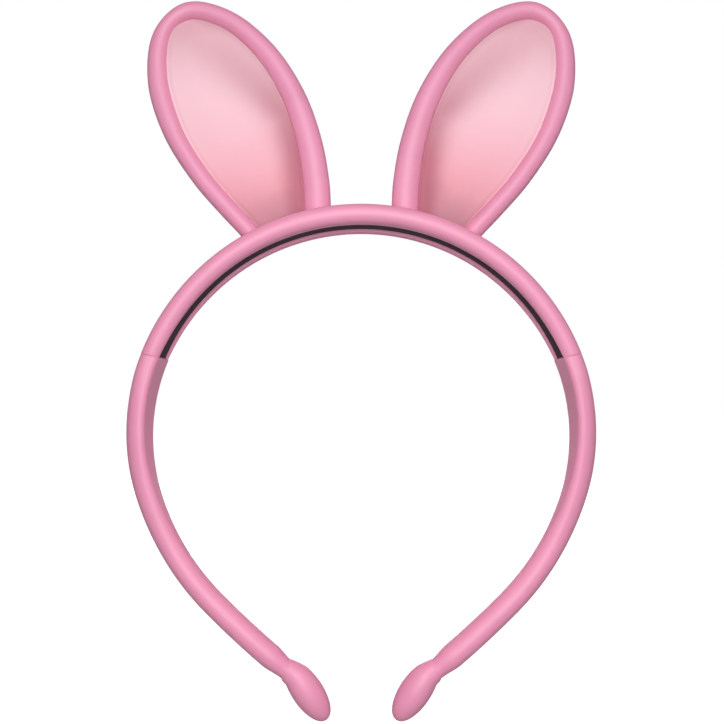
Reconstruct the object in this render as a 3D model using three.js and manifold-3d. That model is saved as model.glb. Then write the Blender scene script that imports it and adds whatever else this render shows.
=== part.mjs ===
// Animal ears headband: a padded hoop that opens at the bottom, with two wired rabbit ears on its crown.
// Millimetres, +Z up, -Y towards the front, and the wearer's crown touches the band at the origin.
// A section of the band is drawn as (u, v): u runs outwards from the middle of the band's thickness,
// and v runs back from the middle of its depth. The left side is -X, and the right side mirrors it.

import * as THREE from 'three';
import { mergeVertices } from 'three/addons/utils/BufferGeometryUtils.js';
import Module from 'manifold-3d';

const wasm = await Module();
wasm.setup();

const rad = (degrees) => THREE.MathUtils.degToRad(degrees);
const mix = THREE.MathUtils.lerp;
const ease = THREE.MathUtils.smoothstep;

const GAP = 0.3; // between pieces that touch

// The crown of the band
const HOOP_RADIUS = 74.1; // to the outside of the crown
const CROWN_THICKNESS = 6;
const CROWN_DEPTH = 22; // front to back, at the top
const CROWN_END_DEPTH = 16; // front to back, at the two ends
const CROWN_SPREAD = 67.5; // degrees from the top down to each end
const HEM_SPREAD = 2; // degrees of the crown that each folded hem takes
const CROWN_STEPS = 17; // an odd number, so that one facet lies flat at the top
const COVER_WALL = 0.8;
const ROLL_RADIUS = CROWN_THICKNESS / 2; // the rolled front and back edges
const ROLL_CENTRE = CROWN_DEPTH / 2 - ROLL_RADIUS;
const SLOT_HALF = 5.8; // the gap between the rolls, on the inner face
const TUCK_TOP = -1.3; // how far up the slot's sides the sleeve is tucked
const STRIP = { inner: -2, outer: -1.1, half: SLOT_HALF - GAP };
const CORE = { inner: -0.8, outer: 0.4, half: 7 };
const ANCHOR = { inner: 0.7, outer: 1.9, half: 3.5, spread: 12.5 };
const PEG_RADIUS = 0.6;
const PEG_HEIGHT = 2;

const MID_RADIUS = HOOP_RADIUS - CROWN_THICKNESS / 2;
const HALF_FACET = rad(CROWN_SPREAD / CROWN_STEPS);
const SEAT_RADIUS = (MID_RADIUS + STRIP.inner) * Math.cos(HALF_FACET); // to the strip's top facet

// The arms, from the crown's ends down to the teardrops
const ARM_TURNS = [
  { radius: 63.6, sweep: 42.3 },
  { radius: 86, sweep: 25.4 },
  { radius: 290, sweep: 6.1 },
];
const ARM_STEPS = 16;
const ARM_TOP = { thickness: 6, depth: 14.8 };
const ARM_LOW = { thickness: 7.4, depth: 8 };
const THICKEN_FROM = 4;
const THICKEN_TO = 66;
const NECK_SHARE = 0.86; // of the thickness, where the sleeve is gathered into the teardrop
const NECK_RUN = 3.5;
const ARM_END_RADIUS = 3.15; // the arm's rounded top end, about its pivot
const ARM_PIVOT = ARM_END_RADIUS + 0.4; // along the arm, from the crown's end
const ARM_WALL_SHARE = 0.26; // of half the thickness
const ARM_GAP_SHARE = 0.11;
const ARM_CORE_SHARE = 0.24;

// The teardrops, as (distance along the axis, radius)
const TIP_NECK_RADIUS = 2.9;
const TIP_OUTLINE = [
  [0.6, TIP_NECK_RADIUS], [1.6, 3.75], [4, 4.45], [8, 4.8], [12, 4.7], [15.6, 4.1], [18.5, 2.5],
];
const TIP_LENGTH = 20;
const TIP_TURN = 16; // degrees that the axis turns down at the neck
const TIP_OFFSET = 1.5; // of the axis, towards the inside of the hoop
const TIP_SETTLE = 4; // along the axis, until it has turned and moved over
const TIP_WALL = 0.8;
const TIP_BACK = 0.27; // of the lining's outline behind the outer one
const TIP_BORE = 1.5;
const TIP_SIDES = 10;

// The ears, in the ear's own frame: u along the crown, v up from it, depth towards the back
const EAR_ANGLE = 19; // degrees from the top of the hoop to the middle of the ear's root
const RIM_RADIUS = 3;
const RIM_WALL = 0.7;
const WIRE_RADIUS = 0.6;
const RIM_LINE = [
  [-10.7, -3], [-12.5, 2], [-15.8, 9.2], [-21.5, 23.2], [-25.6, 41], [-25.1, 57.5], [-18.8, 71.3],
  [-7.9, 76.4], [3.3, 70.3], [12.1, 57], [16.9, 39], [17.1, 21], [15, 8.4], [13.1, 2], [11.5, -3],
];
const WIRE_FEET = [-12.1, 12.7]; // along the crown
const EAR_MIDDLE = [-3.8, 38];
const RIM_STEPS = 28;
const PANEL_SIDES = 24;
const PANEL_RINGS = [0, 0.4, 0.75, 1];
const PANEL_WALL = 0.8;
const DISH = { edge: -1.4, middle: 1.4 }; // the front panel's front face
const BULGE = { edge: 1, middle: 4 }; // the back panel's front face
const EAR_PIVOT = 3.2; // above the crown
const EAR_PLAY = 0.35; // between the ear's root and the crown
const ROOT_HALF = 24; // of the ear's rounded root, which is longer than the ear is wide

const FAR = 200; // larger than the object
const ROUND_SEGMENTS = 2; // each half circle of a section is drawn with twice as many sides
const CYLINDER_SIDES = 24;

// ---------------------------------------------------------------- solids

function bodyOf(geometry) {
  const bare = geometry.clone();
  bare.deleteAttribute('normal');
  bare.deleteAttribute('uv');
  const merged = mergeVertices(bare);
  const corners = [];
  for (let i = 0; i < merged.index.count; i += 3) {
    const [a, b, c] = [0, 1, 2].map((k) => merged.index.getX(i + k));
    if (a !== b && b !== c && c !== a) corners.push(a, b, c);
  }
  const vertProperties = merged.attributes.position.array;
  const triVerts = new Uint32Array(corners);
  return new wasm.Manifold(new wasm.Mesh({ numProp: 3, vertProperties, triVerts }));
}

function geometryOf(body) {
  const mesh = body.getMesh();
  const geometry = new THREE.BufferGeometry();
  geometry.setAttribute('position', new THREE.BufferAttribute(new Float32Array(mesh.vertProperties), 3));
  geometry.setIndex(new THREE.BufferAttribute(new Uint32Array(mesh.triVerts), 1));
  return geometry;
}

function volumeOf(geometry) {
  const corners = (geometry.index ? geometry.toNonIndexed() : geometry).attributes.position;
  const corner = (i) => new THREE.Vector3().fromBufferAttribute(corners, i);
  let volume = 0;
  for (let i = 0; i < corners.count; i += 3) {
    volume += corner(i).dot(corner(i + 1).cross(corner(i + 2))) / 6;
  }
  return volume;
}

// Turns every triangle over if the faces point inwards.
function facingOut(geometry) {
  if (volumeOf(geometry) > 0) return geometry;
  const { index, attributes } = geometry;
  const corners = index ? [...index.array] : [...Array(attributes.position.count).keys()];
  for (let i = 0; i < corners.length; i += 3) {
    [corners[i], corners[i + 1]] = [corners[i + 1], corners[i]];
  }
  geometry.setIndex(corners);
  return geometry;
}

// Moves each vertex of a geometry to place(x, y, z), which returns a Vector3.
function reshaped(geometry, place) {
  const position = geometry.attributes.position;
  for (let i = 0; i < position.count; i += 1) {
    const moved = place(position.getX(i), position.getY(i), position.getZ(i));
    position.setXYZ(i, moved.x, moved.y, moved.z);
  }
  return facingOut(geometry);
}

function mirrored(geometry) {
  return reshaped(geometry.clone(), (x, y, z) => new THREE.Vector3(-x, y, z));
}

// Extrudes a section by one unit in equal steps and lays it along a line, with z going from 0 to 1.
function swept(section, steps, curveSegments, place) {
  const settings = { depth: 1, steps, curveSegments, bevelEnabled: false };
  return reshaped(new THREE.ExtrudeGeometry(section, settings), place);
}

// The point at an angle from the hoop's top, towards -X, and at a radius from the hoop's centre.
function onHoop(angle, radius, depth) {
  const turn = rad(angle);
  return new THREE.Vector3(-radius * Math.sin(turn), depth, radius * Math.cos(turn) - SEAT_RADIUS);
}

// ---------------------------------------------------------------- crown

function crownDepth(angle) {
  return mix(CROWN_DEPTH, CROWN_END_DEPTH, (angle / CROWN_SPREAD) ** 2);
}

// The rolls keep their size as the crown narrows, and what is between them narrows with it.
function crownPlace(fromAngle, toAngle) {
  return (u, v, t) => {
    const angle = mix(fromAngle, toAngle, t);
    const rollCentre = crownDepth(angle) / 2 - ROLL_RADIUS;
    const inner = THREE.MathUtils.clamp(v, -ROLL_CENTRE, ROLL_CENTRE);
    return onHoop(angle, MID_RADIUS + u, inner * (rollCentre / ROLL_CENTRE) + v - inner);
  };
}

function alongCrown(section, spread) {
  return swept(section, CROWN_STEPS, ROUND_SEGMENTS, crownPlace(spread, -spread));
}

function rectangle(inner, outer, half) {
  const corners = [[inner, -half], [outer, -half], [outer, half], [inner, half]];
  return new THREE.Shape(corners.map((corner) => new THREE.Vector2(...corner)));
}

// A sleeve round the band, open along the middle of its inner face, with its edges tucked into the slot.
function sleeveSection() {
  const outside = ROLL_RADIUS;
  const inside = ROLL_RADIUS - COVER_WALL;
  const half = Math.PI / 2;
  const section = new THREE.Shape();
  section.moveTo(TUCK_TOP, -SLOT_HALF);
  section.lineTo(-outside, -SLOT_HALF);
  section.absarc(0, -ROLL_CENTRE, outside, 2 * half, 4 * half, false);
  section.absarc(0, ROLL_CENTRE, outside, 0, 2 * half, false);
  section.lineTo(-outside, SLOT_HALF);
  section.lineTo(TUCK_TOP, SLOT_HALF);
  section.lineTo(TUCK_TOP, SLOT_HALF + COVER_WALL);
  section.lineTo(-inside, SLOT_HALF + COVER_WALL);
  section.absarc(0, ROLL_CENTRE, inside, 2 * half, 0, true);
  section.absarc(0, -ROLL_CENTRE, inside, 4 * half, 2 * half, true);
  section.lineTo(-inside, -SLOT_HALF - COVER_WALL);
  section.lineTo(TUCK_TOP, -SLOT_HALF - COVER_WALL);
  return section;
}

// Foam that fills both rolls and lies over the outer face of the core.
function paddingSection() {
  const outside = ROLL_RADIUS - COVER_WALL - GAP;
  const lip = SLOT_HALF + COVER_WALL + GAP;
  const coreSide = CORE.half + GAP;
  const half = Math.PI / 2;
  const section = new THREE.Shape();
  section.moveTo(CORE.inner - GAP, -lip);
  section.lineTo(-outside, -lip);
  section.absarc(0, -ROLL_CENTRE, outside, 2 * half, 4 * half, false);
  section.absarc(0, ROLL_CENTRE, outside, 0, 2 * half, false);
  section.lineTo(-outside, lip);
  section.lineTo(CORE.inner - GAP, lip);
  section.lineTo(CORE.inner - GAP, coreSide);
  section.lineTo(CORE.outer + GAP, coreSide);
  section.lineTo(CORE.outer + GAP, -coreSide);
  section.lineTo(CORE.inner - GAP, -coreSide);
  return section;
}

// Pegs that stand up through the sleeve, one at each end of an ear's root. The right ear has side -1.
function pegs(radius, side) {
  return WIRE_FEET.map((foot) => {
    const angle = side * (EAR_ANGLE - THREE.MathUtils.radToDeg(Math.asin(foot / HOOP_RADIUS)));
    const peg = new THREE.CylinderGeometry(radius, radius, PEG_HEIGHT, 8);
    peg.rotateX(Math.PI / 2);
    peg.rotateY(rad(-angle));
    const middle = onHoop(angle, HOOP_RADIUS - PEG_HEIGHT / 2, 0);
    return bodyOf(peg.translate(middle.x, middle.y, middle.z));
  });
}

function anchorShape(grow) {
  const section = rectangle(ANCHOR.inner - grow, ANCHOR.outer + grow, ANCHOR.half + grow);
  const spread = ANCHOR.spread + grow;
  return bodyOf(swept(section, 5, 1, crownPlace(EAR_ANGLE + spread, EAR_ANGLE - spread)));
}

// ---------------------------------------------------------------- arms

function armLength() {
  return ARM_TURNS.reduce((sum, turn) => sum + turn.radius * rad(turn.sweep), 0);
}

// The middle of the arm at a distance from the crown's end, and the way it heads there.
function armLine(distance) {
  let angle = rad(CROWN_SPREAD);
  const point = onHoop(CROWN_SPREAD, MID_RADIUS, 0);
  let left = distance;
  for (const turn of ARM_TURNS) {
    const run = Math.min(left, turn.radius * rad(turn.sweep));
    const next = angle + run / turn.radius;
    point.x += turn.radius * (Math.sin(angle) - Math.sin(next));
    point.z += turn.radius * (Math.cos(next) - Math.cos(angle));
    angle = next;
    left -= run;
  }
  const along = new THREE.Vector3(-Math.cos(angle), 0, -Math.sin(angle));
  const out = new THREE.Vector3(-Math.sin(angle), 0, Math.cos(angle));
  return { point, along, out };
}

function armSize(distance) {
  const share = ease(distance, THICKEN_FROM, THICKEN_TO);
  const intoNeck = Math.max(0, (distance - armLength() + NECK_RUN) / NECK_RUN);
  const gathered = mix(NECK_SHARE, 1, Math.sqrt(1 - intoNeck ** 2));
  return {
    thickness: gathered * mix(ARM_TOP.thickness, ARM_LOW.thickness, share),
    depth: gathered * mix(ARM_TOP.depth, ARM_LOW.depth, share),
  };
}

// A section with round sides: its straight part goes from v = -1 to 1, and half circles close it.
function armPlace(u, v, t) {
  const distance = t * armLength();
  const { point, out } = armLine(distance);
  const { thickness, depth } = armSize(distance);
  const straight = THREE.MathUtils.clamp(v, -1, 1);
  const across = straight * (depth - thickness) / 2 + (v - straight) * thickness / 2;
  return point.addScaledVector(out, u * thickness / 2).setY(across);
}

function roundSided(radius, path = new THREE.Shape()) {
  path.absarc(0, 1, radius, 0, Math.PI, false);
  path.absarc(0, -1, radius, Math.PI, 2 * Math.PI, false);
  path.closePath();
  return path;
}

function tubeSection(outer, inner) {
  const section = roundSided(outer);
  section.holes.push(roundSided(inner, new THREE.Path()));
  return section;
}

// What is beyond the arm's pivot, and a round end about the pivot.
function armReach() {
  const { point, along } = armLine(ARM_PIVOT);
  const beyond = new THREE.BoxGeometry(2 * FAR, 2 * FAR, 2 * FAR);
  const turn = new THREE.Quaternion().setFromUnitVectors(new THREE.Vector3(0, 0, 1), along);
  beyond.applyQuaternion(turn);
  const middle = point.clone().addScaledVector(along, FAR);
  beyond.translate(middle.x, middle.y, middle.z);
  const end = new THREE.CylinderGeometry(ARM_END_RADIUS, ARM_END_RADIUS, FAR, CYLINDER_SIDES);
  end.translate(point.x, point.y, point.z);
  return bodyOf(beyond).add(bodyOf(end));
}

function armPiece(section) {
  const whole = bodyOf(swept(section, ARM_STEPS, ROUND_SEGMENTS, armPlace));
  return geometryOf(whole.intersect(armReach()));
}

// ---------------------------------------------------------------- teardrops

// Turns a profile about the teardrop's axis, whose start is square to the end of the arm.
function onTipAxis(profile) {
  const { point, along, out } = armLine(armLength());
  const sideways = new THREE.Vector3(0, 1, 0);
  along.applyAxisAngle(sideways, rad(TIP_TURN));
  out.applyAxisAngle(sideways, rad(TIP_TURN));
  const outline = profile.map(([run, radius]) => new THREE.Vector2(radius, run));
  return reshaped(new THREE.LatheGeometry(outline, TIP_SIDES), (x, run, depth) => {
    const settled = ease(run, 0, TIP_SETTLE);
    const tilted = run + x * Math.tan(rad(TIP_TURN)) * (1 - settled);
    const moved = point.clone().addScaledVector(along, tilted);
    return moved.addScaledVector(out, x - settled * TIP_OFFSET).setY(depth);
  });
}

// The outline drawn in by a wall, and back a little, because the outline closes towards the end.
function insideTip(outline, wall) {
  return outline.map(([run, radius]) => [run - TIP_BACK, radius - wall]);
}

function tipCover() {
  const outside = [...TIP_OUTLINE, [TIP_LENGTH, 0]];
  const inside = insideTip(TIP_OUTLINE.slice(1), TIP_WALL).reverse();
  const bore = [[TIP_OUTLINE[1][0], TIP_BORE], [TIP_OUTLINE[0][0], TIP_BORE], TIP_OUTLINE[0]];
  return onTipAxis([...outside, [TIP_LENGTH - TIP_WALL, 0], ...inside, ...bore]);
}

function tipBulb() {
  const shrink = TIP_WALL + GAP;
  const stem = TIP_BORE - GAP;
  const neck = [[1, 0], [1, stem], [TIP_OUTLINE[1][0] + GAP, stem]];
  const bead = insideTip(TIP_OUTLINE.slice(2), shrink);
  return onTipAxis([...neck, ...bead, [TIP_LENGTH - shrink - GAP, 0]]);
}

// ---------------------------------------------------------------- ears

function rimLine() {
  return new THREE.CatmullRomCurve3(RIM_LINE.map(([u, v]) => new THREE.Vector3(u, 0, v)));
}

// From the ear's frame to the headband's: u along the crown, v out from it.
function standing(geometry) {
  const root = onHoop(EAR_ANGLE, HOOP_RADIUS, 0);
  geometry.rotateY(rad(-EAR_ANGLE));
  return geometry.translate(root.x, root.y, root.z);
}

// What is above the ear's pivot, and a barrel about it that follows the crown's curve below.
function earReach() {
  const above = new THREE.BoxGeometry(FAR, FAR, FAR).translate(0, 0, EAR_PIVOT + FAR / 2);
  const outline = [new THREE.Vector2(0, -ROOT_HALF)];
  for (let u = -ROOT_HALF; u <= ROOT_HALF; u += ROOT_HALF / 6) {
    const crownDrop = HOOP_RADIUS - Math.sqrt(HOOP_RADIUS ** 2 - u ** 2);
    outline.push(new THREE.Vector2(EAR_PIVOT + crownDrop - EAR_PLAY, u));
  }
  outline.push(new THREE.Vector2(0, ROOT_HALF));
  const barrel = new THREE.LatheGeometry(outline, CYLINDER_SIDES);
  barrel.rotateZ(-Math.PI / 2).translate(0, 0, EAR_PIVOT);
  return bodyOf(above).add(bodyOf(facingOut(barrel)));
}

function earPiece(geometry) {
  return standing(geometryOf(bodyOf(facingOut(geometry)).intersect(earReach())));
}

function rimTube(outer, inner, sides) {
  const circle = (radius, path) => path.absarc(0, 0, radius, 0, 2 * Math.PI, false);
  const section = circle(outer, new THREE.Shape());
  if (inner > 0) section.holes.push(circle(inner, new THREE.Path()));
  const settings = { extrudePath: rimLine(), steps: RIM_STEPS, curveSegments: sides / 2 };
  return earPiece(new THREE.ExtrudeGeometry(section, { ...settings, bevelEnabled: false }));
}

// A closed outline inside the rim: down one side and up the other, and straight across the root.
function panelOutline(inset) {
  const line = rimLine();
  const points = [];
  for (let i = 0; i <= PANEL_SIDES; i += 1) {
    const point = line.getPointAt(i / PANEL_SIDES);
    const along = line.getTangentAt(i / PANEL_SIDES);
    points.push(new THREE.Vector3(point.x + along.z * inset, 0, point.z - along.x * inset));
  }
  const outline = new THREE.CurvePath();
  points.forEach((point, i) => {
    outline.add(new THREE.LineCurve3(point, points[(i + 1) % points.length]));
  });
  return outline;
}

// A round solid stretched to the ear's outline: its profile is (share of the way out, depth).
function earDisc(profile, inset) {
  const outline = panelOutline(inset);
  const rings = profile.map(([share, depth]) => new THREE.Vector2(share, depth));
  return earPiece(reshaped(new THREE.LatheGeometry(rings, PANEL_SIDES), (x, depth, z) => {
    const share = Math.hypot(x, z);
    const turn = (Math.atan2(x, z) / (2 * Math.PI) + 1) % 1;
    const edge = outline.getPointAt(turn);
    return new THREE.Vector3(mix(EAR_MIDDLE[0], edge.x, share), depth, mix(EAR_MIDDLE[1], edge.z, share));
  }));
}

function crowned(shape, share) {
  return mix(shape.middle, shape.edge, share ** 2);
}

function panelProfile(shape, frontGap, backGap, back = shape) {
  const front = PANEL_RINGS.map((share) => [share, crowned(shape, share) + frontGap]);
  const rear = PANEL_RINGS.map((share) => [share, crowned(back, share) + backGap]);
  return [...front, ...rear.reverse()];
}

// ---------------------------------------------------------------- materials

function fabric(color, roughness) {
  return new THREE.MeshStandardMaterial({ color, roughness, metalness: 0 });
}

const pinkSleeve = fabric(0xf0a6c2, 0.62);
const pinkRim = fabric(0xeda0bd, 0.62);
const palePanel = fabric(0xf7c8d0, 0.5);
const blackStrip = fabric(0x36242c, 0.85);
const padding = fabric(0xf4efe9, 0.95);
const plastic = new THREE.MeshStandardMaterial({ color: 0xe9e4df, roughness: 0.5, metalness: 0 });
const steel = new THREE.MeshStandardMaterial({ color: 0xb9bcc0, roughness: 0.35, metalness: 1 });

// ---------------------------------------------------------------- assembly

const headband = new THREE.Group();

function add(name, geometry, material) {
  const mesh = new THREE.Mesh(geometry, material);
  mesh.name = name;
  headband.add(mesh);
}

function addPair(name, geometry, material) {
  add(`left_${name}`, geometry, material);
  add(`right_${name}`, mirrored(geometry), material);
}

function addCrown() {
  const sleeve = bodyOf(alongCrown(sleeveSection(), CROWN_SPREAD - HEM_SPREAD));
  const foam = bodyOf(alongCrown(paddingSection(), CROWN_SPREAD - HEM_SPREAD));
  const pocket = anchorShape(GAP);
  const otherPocket = bodyOf(mirrored(geometryOf(pocket)));
  const holes = [...pegs(PEG_RADIUS + GAP, 1), ...pegs(PEG_RADIUS + GAP, -1)];
  const holed = holes.reduce((cover, hole) => cover.subtract(hole), sleeve);
  const anchor = pegs(PEG_RADIUS, 1).reduce((plate, peg) => plate.add(peg), anchorShape(0));
  add('crown_cover', geometryOf(holed), pinkSleeve);
  add('crown_padding', geometryOf(foam.subtract(pocket).subtract(otherPocket)), padding);
  add('crown_core', alongCrown(rectangle(CORE.inner, CORE.outer, CORE.half), CROWN_SPREAD), plastic);
  add('grip_strip', alongCrown(rectangle(STRIP.inner, STRIP.outer, STRIP.half), CROWN_SPREAD), blackStrip);
  addPair('ear_anchor', geometryOf(anchor), plastic);
  const gapAngle = THREE.MathUtils.radToDeg(GAP / MID_RADIUS);
  const hemPlace = crownPlace(CROWN_SPREAD, CROWN_SPREAD - HEM_SPREAD + gapAngle);
  addPair('crown_hem', swept(sleeveSection(), 1, ROUND_SEGMENTS, hemPlace), pinkSleeve);
}

function addArms() {
  const coverInside = 1 - ARM_WALL_SHARE;
  const paddingOutside = coverInside - ARM_GAP_SHARE;
  addPair('arm_cover', armPiece(tubeSection(1, coverInside)), pinkSleeve);
  addPair('arm_padding', armPiece(tubeSection(paddingOutside, ARM_CORE_SHARE + ARM_GAP_SHARE)), padding);
  addPair('arm_core', armPiece(roundSided(ARM_CORE_SHARE)), plastic);
  addPair('tip_cover', tipCover(), pinkSleeve);
  addPair('tip_bulb', tipBulb(), plastic);
}

function addEars() {
  const wadding = RIM_RADIUS - RIM_WALL - GAP;
  addPair('ear_rim', rimTube(RIM_RADIUS, RIM_RADIUS - RIM_WALL, 8), pinkRim);
  addPair('ear_rim_wadding', rimTube(wadding, WIRE_RADIUS + GAP, 6), padding);
  addPair('ear_wire', rimTube(WIRE_RADIUS, 0, 6), steel);
  const inset = RIM_RADIUS + GAP;
  addPair('ear_front_panel', earDisc(panelProfile(DISH, 0, PANEL_WALL), inset), palePanel);
  addPair('ear_filler', earDisc(panelProfile(DISH, PANEL_WALL + GAP, -GAP, BULGE), inset), padding);
  addPair('ear_back_panel', earDisc(panelProfile(BULGE, 0, PANEL_WALL), inset), pinkRim);
}

addCrown();
addArms();
addEars();

export default headband;
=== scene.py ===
import math

import bpy
import numpy as np
from mathutils import Matrix, Vector


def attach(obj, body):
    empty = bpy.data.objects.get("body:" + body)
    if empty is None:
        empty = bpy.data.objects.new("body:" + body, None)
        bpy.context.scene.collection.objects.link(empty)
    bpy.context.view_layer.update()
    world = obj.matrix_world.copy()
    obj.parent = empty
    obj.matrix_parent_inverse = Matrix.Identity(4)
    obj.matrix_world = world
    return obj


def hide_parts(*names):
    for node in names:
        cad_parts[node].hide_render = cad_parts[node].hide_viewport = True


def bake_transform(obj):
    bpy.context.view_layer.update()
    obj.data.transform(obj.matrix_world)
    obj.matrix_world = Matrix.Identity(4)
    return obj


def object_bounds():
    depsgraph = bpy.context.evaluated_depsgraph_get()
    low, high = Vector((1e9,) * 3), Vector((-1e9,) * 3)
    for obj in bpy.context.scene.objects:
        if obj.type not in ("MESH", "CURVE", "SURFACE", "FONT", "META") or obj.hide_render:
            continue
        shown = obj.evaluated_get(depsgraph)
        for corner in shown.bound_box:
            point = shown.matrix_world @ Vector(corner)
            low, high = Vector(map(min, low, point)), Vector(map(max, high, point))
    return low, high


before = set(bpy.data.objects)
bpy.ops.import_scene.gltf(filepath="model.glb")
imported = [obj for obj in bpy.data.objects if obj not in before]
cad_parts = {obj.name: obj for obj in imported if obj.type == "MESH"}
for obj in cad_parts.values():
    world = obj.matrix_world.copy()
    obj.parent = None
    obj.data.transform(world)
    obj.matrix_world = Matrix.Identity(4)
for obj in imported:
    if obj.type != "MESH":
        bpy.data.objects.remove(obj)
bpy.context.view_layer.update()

# Animal ears headband: the soft surfaces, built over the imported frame.
# Shapes are worked out in millimetres and stored in metres. Section coordinates are (u, v):
# u runs outwards from the middle of the band's thickness, and v runs back from the middle of its depth.
# Every pair is built on the left, at -X, and mirrored for the right.

MM = 0.001

# ------------------------------------------------------------------ sizes of the frame

HOOP_RADIUS = 74.1
CROWN_DEPTH = 22.0
CROWN_END_DEPTH = 16.0
CROWN_SPREAD = 67.5
HEM_SPREAD = 2.6
MID_RADIUS = HOOP_RADIUS - 3.0
ROLL = 3.08  # radius of the rolled edges in front and behind
SEAT_RADIUS = (MID_RADIUS - 2.0) * math.cos(math.radians(CROWN_SPREAD / 17))
WALL = 0.8
HEM_WALL = 0.4
LIP = 0.7  # rounding of the sleeve's edge, where it tucks in beside the strip
TUCK = -0.95
SWELL = 0.35  # how far the padding lifts the outer face at the top of the crown
STRIP_HALF = 5.4
STRIP_FACES = (-1.8, -1.35)
STRIP_CORNER = 0.22
BAND_HALF = 7.3
BAND_FACES = (-1.0, 0.7)
SEAM_TILT = 0.13
SEAM_SETTLE = 9.0  # degrees over which the crown's rings turn to the slanted seam
# The arcs of the arm as (radius, degrees). They began as a fit to the photograph's outline.
ARM_TURNS = ((63.6, 42.3), (86.0, 25.4), (290.0, 6.1))
ARM_TOP = (6.14, 15.5)  # thickness, depth
ARM_LOW = (7.4, 8.0)
ARM_BEND = (-1.6, 8.7)  # where the arm's flexing starts and ends, along it
EAR_ANGLE = 19.0
EAR_BEND = (-0.5, 8.0)  # where the ear's tilting starts and ends, above the crown
RIM_RADIUS = 3.0
# The rim's wire as (u, v) in the ear's frame, chosen from an outline measured on the photograph.
RIM_LINE = (
    (-10.7, -3), (-12.5, 2), (-15.8, 9.2), (-21.5, 23.2), (-25.6, 41), (-25.1, 57.5), (-18.8, 71.3),
    (-7.9, 76.4), (3.3, 70.3), (12.1, 57), (16.9, 39), (17.1, 21), (15, 8.4), (13.1, 2), (11.5, -3),
)
# Share of the rim's length, reach outwards and reach inwards: widths measured along the photograph's rim,
# then rounded and changed.
RIM_REACH = (
    (0.0, 3.0, 3.0), (0.12, 2.9, 3.3), (0.22, 2.85, 3.7), (0.32, 2.6, 4.4), (0.4, 2.45, 4.0),
    (0.47, 2.5, 2.8), (0.53, 2.35, 3.35), (0.62, 2.2, 4.1), (0.72, 2.35, 4.8), (0.82, 2.4, 5.5),
    (0.92, 2.4, 6.1), (1.0, 2.7, 6.0),
)
EAR_MIDDLE = (-4.8, 38.0)
PANEL_EDGE = RIM_RADIUS * 0.86
FILLING_EDGE = RIM_RADIUS * 1.05
PANEL_THICK = 0.7
CLOTH_SCALE = 10 * MM  # the solver is poor at real size
FULLNESS = 0.05
PRESSURE = 4.0
SETTLE_FRAMES = 20
HELD_ROWS = 3
SMOOTHING = 24
FULLER = (-0.24, 0.90)  # how far the settled cloth may lie under and over the plain face
# Run along the teardrop and radius, chosen from points measured on the photograph.
TIP_OUTLINE = (
    (-0.5, 2.6), (-0.1, 2.95), (0.6, 3.18), (1.6, 3.58), (3, 4.05), (6.2, 4.65), (10, 4.84), (13.7, 4.4),
    (16.8, 3.42), (18.7, 2.2), (19.55, 1.05), (19.8, 0.0),
)
TIP_TURN = 16.0
TIP_SLANT = 29.0
TIP_OFFSET = 1.5
TIP_SETTLE = 4.0

# ------------------------------------------------------------------ small mathematics


def mix(a, b, share):
    return a + (b - a) * share


def smooth(value, low, high):
    share = np.clip((value - low) / (high - low), 0, 1)
    return share * share * (3 - 2 * share)


def on_hoop(angle, radius, depth):
    """The point at an angle from the top of the hoop, towards -X, in millimetres."""
    turn = np.radians(angle)
    return np.stack(np.broadcast_arrays(
        -radius * np.sin(turn), depth, radius * np.cos(turn) - SEAT_RADIUS), -1)


def spline(points, per_span):
    """A centripetal Catmull-Rom curve through the points, as three.js draws it."""
    p = np.array(points, float)
    p = np.vstack([2 * p[0] - p[1], p, 2 * p[-1] - p[-2]])
    made = []
    for i in range(1, len(p) - 2):
        p0, p1, p2, p3 = p[i - 1:i + 3]
        d0, d1, d2 = (max(np.linalg.norm(b - a), 1e-6) ** 0.5 for a, b in ((p0, p1), (p1, p2), (p2, p3)))
        t1 = (p1 - p0) / d0 - (p2 - p0) / (d0 + d1) + (p2 - p1) / d1
        t2 = (p2 - p1) / d1 - (p3 - p1) / (d1 + d2) + (p3 - p2) / d2
        t1, t2 = t1 * d1, t2 * d1
        for t in np.arange(per_span) / per_span:
            made.append(p1 + t1 * t + (-3 * p1 + 3 * p2 - 2 * t1 - t2) * t ** 2
                        + (2 * p1 - 2 * p2 + t1 + t2) * t ** 3)
    made.append(p[-2])
    return np.array(made)


def lengths(points):
    steps = np.linalg.norm(np.diff(points, axis=0), axis=1)
    return np.concatenate([[0], np.cumsum(steps)])


def spaced(points, count):
    """The same line with evenly spaced points."""
    run = lengths(points)
    at = np.linspace(0, run[-1], count)
    return np.stack([np.interp(at, run, points[:, k]) for k in range(points.shape[1])], 1)


def tangents(points):
    t = np.gradient(points, axis=0)
    return t / np.linalg.norm(t, axis=1)[:, None]


# ------------------------------------------------------------------ meshes


def new_object(name, verts, faces, uvs):
    """verts in millimetres; uvs is one (length, girth) in millimetres for each face corner."""
    mesh = bpy.data.meshes.new(name)
    mesh.from_pydata((np.asarray(verts) * MM).tolist(), [], faces)
    layer = mesh.uv_layers.new(name="cloth")
    layer.data.foreach_set("uv", (np.asarray(uvs, float) * MM).ravel())
    mesh.polygons.foreach_set("use_smooth", [True] * len(mesh.polygons))
    mesh.validate()
    mesh.update()
    obj = bpy.data.objects.new(name, mesh)
    bpy.context.scene.collection.objects.link(obj)
    return obj


def volume(verts, faces):
    total = 0.0
    v = np.asarray(verts, float)
    for f in faces:
        for k in range(1, len(f) - 1):
            total += np.dot(v[f[0]], np.cross(v[f[k]], v[f[k + 1]]))
    return total


def facing_out(verts, faces, uvs):
    if volume(verts, faces) >= 0:
        return faces, uvs
    flipped, turned, at = [], [], 0
    for f in faces:
        flipped.append(tuple(reversed(f)))
        turned.extend(reversed(uvs[at:at + len(f)]))
        at += len(f)
    return flipped, turned


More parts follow.
